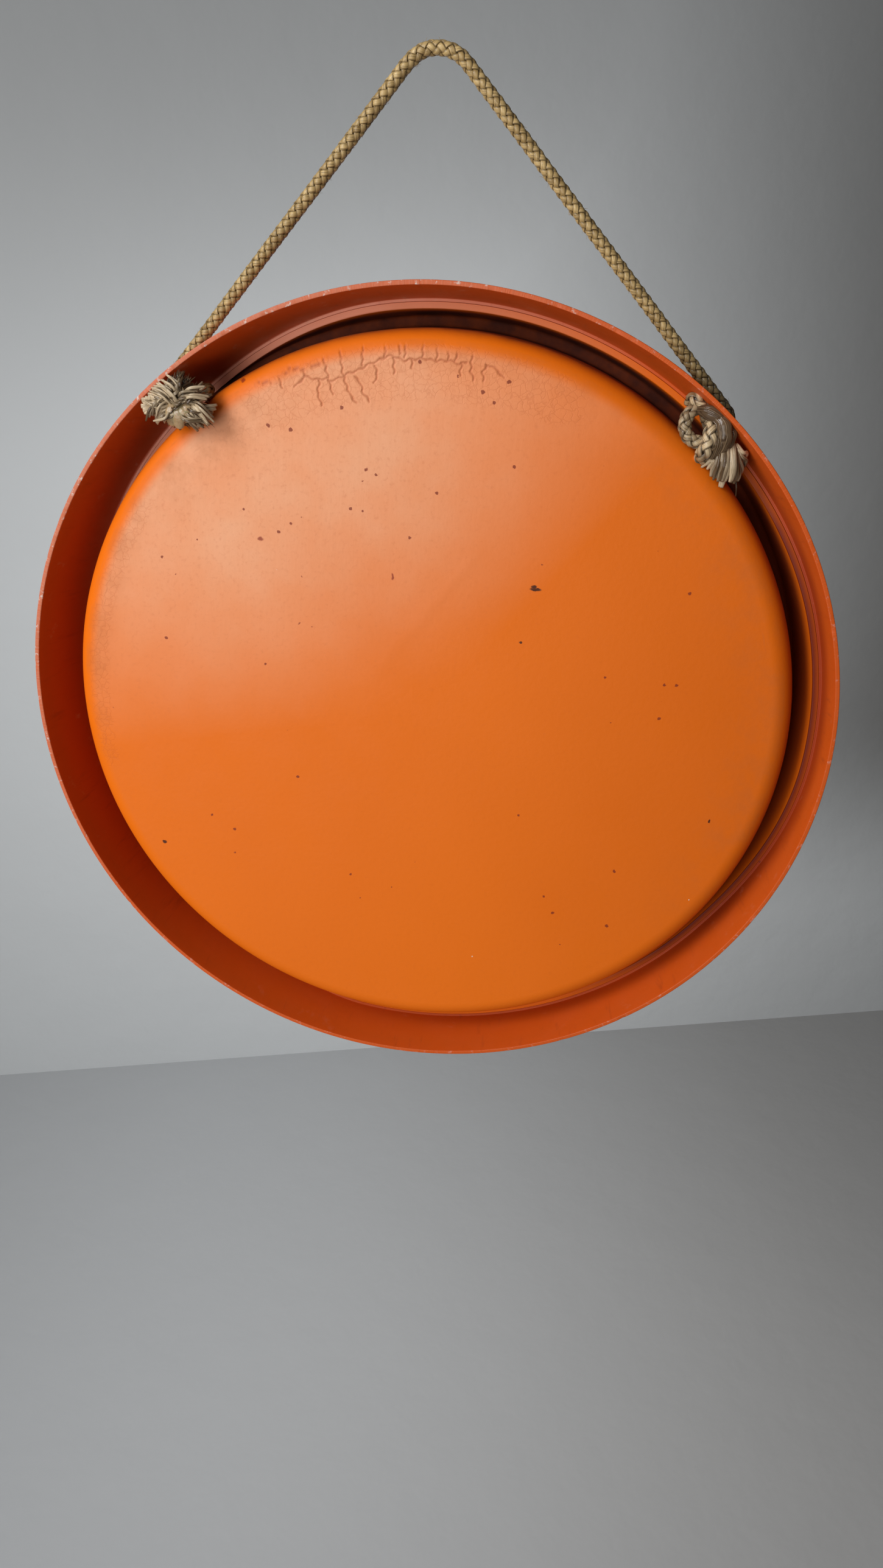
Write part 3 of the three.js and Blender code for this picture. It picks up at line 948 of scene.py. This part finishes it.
def make_cord(material):
    rng = np.random.default_rng(21)
    bundle = Bundle()
    whole = cord_path()
    total = smooth_path(whole, 0.3)[1][-1]

    def soil(run):
        return np.maximum(
            0.75 * np.interp(run, [total - 34, total - 14, total], [0, 0.9, 1]),
            np.interp(run, [0, 10, 16], [0.8, 0.5, 0]),
        )

    path, run = braid(bundle, whole, rng, soil=soil)
    fuzz(bundle, path, rng, soil(run))
    piece = bundle.piece("carry_cord_braided", material, lambda p: np.asarray(p) * UNIT)
    declare(piece, "carry_cord", body=None)
    # The cord passes from the loop to the disc within 3 mm of the line between its two holes.
    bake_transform(piece)
    return piece, path, run[-1]


def fuzz(bundle, path, rng, soil):
    """Broken fibre ends that stand off the cord."""
    side, other = carried_frames(path, (0, 1, 0))
    for _ in range(420):
        i = int(rng.integers(3, len(path) - 3))
        if soil[i] < 0.3 and rng.random() < 0.45:
            continue
        a = rng.uniform(0, TAU)
        out = side[i] * math.cos(a) + other[i] * math.sin(a)
        ahead = unit(path[i + 1] - path[i - 1])
        lean = rng.choice([-1, 1]) * rng.uniform(0.5, 1.6)
        length = rng.uniform(0.3, 0.9) * (1 + 0.5 * soil[i])
        start = path[i] + out * 1.5
        middle = start + out * 0.35 * length + ahead * lean * 0.3
        fine, _ = smooth_path([start, middle, start + out * length + ahead * lean * 0.9], 0.25)
        u, v = carried_frames(fine, rng.normal(0, 1, 3))
        thin = np.linspace(0.05, 0.02, len(fine))
        bundle.strand(fine, u, v, thin, thin, tone=0.5, soil=float(soil[i]) * 0.8, sides=4)


# ---- the knots


def knot_place(centre):
    """Turns points (right, up, out) about a knot's centre into the disc's frame, inside the wall."""

    def place(points):
        placed = []
        for a, b, f in points:
            x, w, z = centre[0] + a, centre[1] - f, centre[2] + b
            limit = RIM_RADIUS - RIM_THICKNESS - SKIRT_DRAFT * w - WALL_CLEARANCE
            shrink = min(1, limit / math.hypot(x, z))
            placed.append(np.array([x * shrink, w, z * shrink]))
        return placed

    return place


def start_knot(seed, centre):
    return np.random.default_rng(seed), Bundle(), knot_place(centre)


def make_left_knot(material):
    """Braided turns behind the frayed end, and the neck through the hole."""
    rng, bundle, place = start_knot(31, LEFT_KNOT)
    inner, _ = neck_points(-1, 6.5)
    turns = place(
        [
            (0.5, 2.2, -11.5), (4.3, 2.9, -10), (5.2, 2.4, -6.5), (1.5, 0.5, -4.2),
            (-3.6, -3.4, -5.2), (-4.6, -5.2, -9), (-1.2, -2.4, -11.5), (1.8, 0.8, -8),
            (1.0, 0.4, -4), (0.6, 0.2, -1.2),
        ]
    )
    braid(bundle, [*inner[::-1], *turns], rng, 1.75, lambda run: np.full(len(run), 0.35), (0, 0, 1))
    return declare(bundle.piece("left_knot_tied", material), "left_knot")


# The left tuft each 30 degrees, counted from its right over its top: its reach, paleness and soil.
TUFT_REACH = [10.0, 8.4, 6.8, 6.8, 6.6, 7.8, 10.0, 9.4, 6.8, 6.6, 7.2, 9.8, 10.0]
TUFT_TONE = [0.75, 0.60, 0.15, 0.05, 0.55, 0.95, 0.95, 0.80, 0.35, 0.25, 0.35, 0.65, 0.75]
TUFT_SOIL = [0.05, 0.15, 0.50, 0.65, 0.20, 0.00, 0.00, 0.05, 0.20, 0.25, 0.20, 0.10, 0.05]

# Strands over the middle of the left tuft: from and to, right and up of its centre, and how pale.
SWEEPS = [
    (1.5, -1.0, -3.8, 5.6, 0.95), (0.4, -1.6, -6.2, 3.8, 1.0), (-0.6, -2.0, -7.4, 1.4, 0.9),
    (-2.0, 2.4, 2.6, 4.4, 0.15), (-1.4, 0.8, 3.6, 2.2, 0.25), (-0.6, 0.2, 6.2, 3.4, 0.7),
    (0.2, -0.6, 8.0, 1.2, 0.9), (0.4, -1.0, 7.4, -3.2, 0.6), (2.0, 0.0, 8.6, -4.8, 0.8),
    (-1.0, 0.4, -4.8, -4.6, 0.4), (-2.4, 1.2, -7.4, -3.8, 0.7), (1.2, 1.8, 1.0, 6.0, 0.1),
]


def make_left_fray(material):
    """The left end opened into a ragged tuft of flat strands that faces the viewer."""
    rng, bundle, place = start_knot(35, LEFT_KNOT)
    compass = np.arange(0, 361, 30)

    def clump(degrees, share, lift, strands, width):
        """A few strands side by side that leave the middle together and curl the same way."""
        reach = share * np.interp(degrees % 360, compass, TUFT_REACH)
        tone = np.interp(degrees % 360, compass, TUFT_TONE)
        soil = np.interp(degrees % 360, compass, TUFT_SOIL)
        bend = rng.uniform(-3.4, 3.4) * share
        for k in range(strands):
            a = math.radians(degrees + rng.normal(0, 4))
            out = np.array([math.cos(a), math.sin(a)])
            turn = np.array([-out[1], out[0]])
            shift = turn * width * 0.8 * (k - 0.5 * strands) + rng.normal(0, 0.15, 2)
            length = reach * rng.uniform(0.86, 1.0)
            heights = (-2.2, lift * 0.6, lift, lift * 0.75, lift * 0.35 - 0.4)
            points = []
            for part, height in zip((0.12, 0.3, 0.62, 0.86, 1), heights):
                flat = out * length * part + (shift * min(1, part * 1.6)) + turn * bend * part**2
                points.append((flat[0], flat[1], height + rng.normal(0, 0.15)))
            ribbon(
                bundle,
                place(points),
                rng,
                width * rng.uniform(0.75, 1.15),
                rng.uniform(0.16, 0.3),
                np.clip(tone + rng.normal(0, 0.3), 0, 1),
                soil=float(np.clip(soil + rng.normal(0, 0.15), 0, 0.8)),
                tip=rng.uniform(0.6, 0.95),
            )

    # Outer clumps, then inner ones: first angle, step, scatter, share of reach, lift, strands, widest.
    for first, step, scatter, shares, lifts, strands, widest in (
        (0, 9, 6, (0.78, 1.08), (1.2, 3.4), 4, 1.15),
        (5, 18, 10, (0.5, 0.85), (2.6, 4.4), 3, 1.2),
    ):
        for degrees in np.arange(first, first + 360, step):
            degrees = degrees + rng.normal(0, scatter)
            clump(degrees, rng.uniform(*shares), rng.uniform(*lifts), strands, rng.uniform(0.5, widest))
    # Long strands that sweep over the middle and hide the roots.
    for a, b, tip_a, tip_b, tone in SWEEPS:
        bow = rng.uniform(-0.3, 0.3) * np.array([b - tip_b, tip_a - a])
        for k in range(6):
            shift = rng.normal(0, 0.3, 2) + np.array([0.36, 0.3]) * (k - 2.5)
            start = np.array([a, b]) + shift
            end = np.array([tip_a, tip_b]) + shift * 1.4
            middle = 0.5 * (start + end) + bow + rng.normal(0, 0.3, 2)
            height = rng.uniform(3.6, 5.0)
            points = [(*start, 1.5), (*middle, height), (*end, height - rng.uniform(0.8, 2.0))]
            shade = np.clip(tone + rng.normal(0, 0.25), 0, 1)
            soil = (1 - tone) * 0.35 + rng.uniform(0, 0.25)
            ribbon(bundle, place(points), rng, rng.uniform(0.4, 0.95), 0.18, shade, soil=soil, tip=0.6)
    # Blunt ends folded towards the viewer at the far left.
    for _ in range(12):
        a, b = rng.uniform(-10.2, -7.6), rng.uniform(-3.6, 1.4)
        points = [(0.6 * a, 0.6 * b, 1.0), (0.85 * a, 0.9 * b, 2.6), (a, b, rng.uniform(1.8, 3.2))]
        ribbon(bundle, place(points), rng, rng.uniform(0.9, 1.5), 0.3, rng.uniform(0.7, 1.0), tip=1.0)
    # Fine brown hairs along the top and the lower right.
    for _ in range(150):
        degrees = rng.normal(85, 30) if rng.random() < 0.7 else rng.normal(300, 25)
        a = math.radians(degrees)
        out = np.array([math.cos(a), math.sin(a)])
        reach = np.interp(degrees % 360, compass, TUFT_REACH) * rng.uniform(0.7, 1.08)
        curl = rng.normal(0, 0.9, 2)
        middle = out * reach * 0.8 + curl * 0.4
        points = [(*(out * reach * 0.5), 1.5), (*middle, 1.8), (*(out * reach + curl), 0.8)]
        width = rng.uniform(0.12, 0.3)
        ribbon(bundle, place(points), rng, width, 0.08, 0.2, soil=rng.uniform(0.3, 0.9), tip=0.4)
    return declare(bundle.piece("left_tuft", material), "left_frayed_end")


def make_left_melt():
    """The bead of melted fibre at the bottom of the left tuft."""
    s = Shader("melted_fibre")
    colour = s.mix(s.noise(1.6, 4), (0.24, 0.14, 0.065), (0.56, 0.40, 0.22))
    material = s.finish(
        Base_Color=colour,
        Roughness=0.3,
        Normal=s.bump(s.noise(1.1, 2), 0.25, 0.8),
        Subsurface_Weight=0.25,
        Subsurface_Scale=0.002,
    )
    rng, bundle, place = start_knot(38, LEFT_KNOT)
    lobes = [
        (-1.0, 0.6, -1.6, -6.2, 1.7), (0.6, 0.4, 0.4, -6.8, 1.9), (1.6, 0.2, 2.2, -5.2, 1.6),
        (2.4, 0.8, 4.0, -3.4, 1.2),
    ]
    for a, b, tip_a, tip_b, size in lobes:
        middle = (0.5 * (a + tip_a), 0.5 * (b + tip_b), 3.7)
        path, run = smooth_path(place([(a, b, 2.2), middle, (tip_a, tip_b, 2.4)]), 0.3)
        side, other = carried_frames(path, (1, 0, 0))
        t = run / run[-1]
        girth = size * np.sqrt(np.clip(1 - (2 * t - 1) ** 2, 0.02, 1)) ** 0.7
        bundle.strand(path, side, other, girth, girth * 0.36, tone=0.5, sides=14, start=rng.uniform(0, 9))
    return declare(bundle.piece("left_melted_bead", material), None)


def make_right_knot(material, sheath_material):
    """A braided lump on top, a small loop, a bright lump below and a smooth sleeve over them."""
    rng, bundle, place = start_knot(41, RIGHT_KNOT)
    inner, _ = neck_points(1, 6.5)
    top = [(-1.2, 7.6, -3.6), (-2.4, 8.2, -1.4), (-4.4, 8.7, -0.6), (-6.2, 8.6, -1.6), (-6.9, 7.6, -3.4)]
    points = [*inner[::-1], *place(top)]
    braid(bundle, points, rng, 1.9, lambda run: np.interp(run, [0, 6, 12], [0.7, 0.2, 0.0]), (0, 0, 1))
    loop = place(
        [
            (-5.0, 6.4, -1.4), (-6.6, 5.4, -0.2), (-7.6, 3.6, 0.2), (-7.7, 1.6, 0.4),
            (-6.9, -0.4, 0.6), (-5.2, -1.7, 0.8), (-3.0, -1.9, 0.8), (-1.0, -1.6, 0.0),
        ]
    )
    braid(bundle, loop, rng, 1.85, lambda run: np.full(len(run), 0.45), (0, 0, 1))
    lump = place(
        [
            (-0.2, 2.6, 0.4), (-0.9, 1.2, 2.4), (-1.2, -1.2, 3.2), (-1.9, -3.6, 3.0),
            (-2.3, -5.3, 1.4), (-1.6, -5.8, -0.4),
        ]
    )
    braid(bundle, lump, rng, radius=2.15, start=(1, 0, 0))
    knot = declare(bundle.piece("right_knot_tied", material), "right_knot")

    # Smooth melted bands that wrap over the turns and run down into the brush.
    sleeve = Bundle()
    # Each band's tone, and its points as right, up, out and half width.
    bands = [
        (0.35, [(-5.2, 5.8, 0.0, 0.9), (-3.4, 5.9, 1.6, 1.7), (-1.0, 5.2, 2.4, 2.0), (1.2, 4.2, 2.6, 1.5)]),
        (
            0.5,
            [
                (-0.6, 4.9, 2.0, 1.2), (1.4, 3.4, 3.2, 2.0), (2.3, 0.6, 3.4, 2.2),
                (2.2, -2.2, 3.0, 1.7), (1.2, -5.2, 2.0, 0.9),
            ],
        ),
        (0.75, [(0.2, 1.4, 3.0, 0.8), (1.0, -1.4, 3.6, 1.2), (0.6, -4.2, 2.8, 1.1), (0.0, -6.4, 1.6, 0.6)]),
        (0.45, [(1.6, 4.6, 1.6, 1.2), (3.8, 3.6, 2.4, 1.6), (5.4, 3.0, 1.4, 1.3), (6.4, 1.8, 0.0, 0.7)]),
        (0.3, [(4.6, 3.4, 2.2, 0.7), (5.0, 1.4, 2.4, 1.2), (4.2, -0.8, 2.4, 1.3), (3.6, -3.0, 2.0, 1.0)]),
    ]
    for tone, rows in bands:
        path, run = smooth_path(place([row[:3] for row in rows]), 0.3)
        side, other = carried_frames(path, TO_VIEWER)
        girth = np.interp(run / run[-1], np.linspace(0, 1, len(rows)), [row[3] for row in rows])
        girth = girth * (1 + 0.05 * np.sin(run * 2.1))
        sleeve.strand(path, side, other, girth * 0.5, girth, tone=tone, sides=20, start=rng.uniform(0, 300))
        # Single strands that lie along the band and make it streaky.
        for _ in range(4):
            a = rng.uniform(-1.0, 1.0)
            over = side * (0.5 * girth * math.cos(a))[:, None] + other * (girth * math.sin(a))[:, None]
            thin = np.full(len(run), rng.uniform(0.10, 0.22))
            streak = rng.uniform(0.2, 0.8)
            start = rng.uniform(0, 300)
            sleeve.strand(path + over, side, other, thin, thin * 1.6, streak, sides=6, start=start)
    return knot, declare(sleeve.piece("right_melted_sleeve", sheath_material), None)


def make_right_fray(material):
    """The right end's brush of thick strands, pointing down the channel."""
    rng, bundle, place = start_knot(45, RIGHT_KNOT)
    tips = [
        (1.0, -10.3, 1.2), (2.2, -11.2, 1.9), (3.4, -11.6, 2.2), (4.0, -13.0, 1.2),
        (5.2, -11.5, 2.0), (6.4, -11.7, 1.4), (7.5, -11.2, 0.8), (8.3, -9.6, 0.4), (8.9, -7.8, -0.2),
        (8.6, -6.0, -0.8), (6.9, -9.8, -0.4), (4.6, -10.5, -0.6), (2.6, -9.9, -0.6),
    ]
    for a, b, f in tips:
        tone = rng.uniform(0.15, 0.8)
        for _ in range(3):
            jitter = rng.normal(0, 0.42, 2)
            root = (1.9 + 0.42 * a + jitter[0], -0.8 - 0.1 * a, 1.2)
            tip = (a + jitter[0], b + 0.8 * abs(jitter[1]), f + rng.normal(0, 0.3))
            bow = (0.5 * (root[0] + tip[0]) + 0.3, 0.5 * (root[1] + tip[1]), max(f, 0) + 1.7)
            near_tip = (tip[0] + 0.1, tip[1] + 1.8, tip[2] + 0.7)
            width = rng.uniform(1.0, 1.6)
            shade = np.clip(tone + rng.normal(0, 0.15), 0, 1)
            soil = 0.3 * rng.random()
            ribbon(bundle, place([root, bow, near_tip, tip]), rng, width, 0.4, shade, soil, tip=0.6)
    for a, b in ((-2.0, -8.2), (-1.0, -7.6), (-0.4, -8.6), (0.3, -8.4), (-1.6, -7.2)):
        points = [(1.4, -4.2, 1.6), (0.5 * (a + 1.2), -6.4, 2.2), (a, b, 0.8)]
        ribbon(bundle, place(points), rng, 0.9, 0.3, 0.75)
    thread = place([(7.3, -10.5, 1.0), (7.8, -12.6, 1.2), (8.1, -15.0, 0.6)])
    path, run = smooth_path(thread, 0.3)
    side, other = carried_frames(path, (1, 0, 0))
    thin = np.linspace(0.28, 0.12, len(run))
    bundle.strand(path, side, other, thin, thin, tone=0, soil=1.0, sides=6)
    return declare(bundle.piece("right_brush", material), "right_frayed_end")


# ---- everything together


# The cord's materials: name, dark, middle and light colours, roughness, and where the painted shade of a
# strand's gap is.
FIBRES = [
    ("braided_cord", (0.035, 0.016, 0.005), (0.23, 0.135, 0.042), (0.66, 0.46, 0.20), 0.28),
    ("knotted_cord", (0.025, 0.010, 0.004), (0.17, 0.095, 0.038), (0.86, 0.66, 0.40), 0.25),
    ("pale_strands", (0.025, 0.012, 0.005), (0.11, 0.062, 0.027), (0.66, 0.51, 0.33), 0.24),
    ("melted_sleeve", (0.025, 0.012, 0.006), (0.06, 0.031, 0.016), (0.20, 0.13, 0.07), 0.2, (1.4, 2.4)),
]


def make_all():
    place_camera()
    light_scene()
    make_stage()
    golden, cream, straw, taupe = (cord_fibre(*look) for look in FIBRES)
    cord, path, length = make_cord(golden)
    make_shell()
    make_liner()
    ends = [
        make_left_knot(golden),
        make_left_fray(straw),
        make_left_melt(),
        *make_right_knot(cream, taupe),
        make_right_fray(straw),
    ]


make_all()
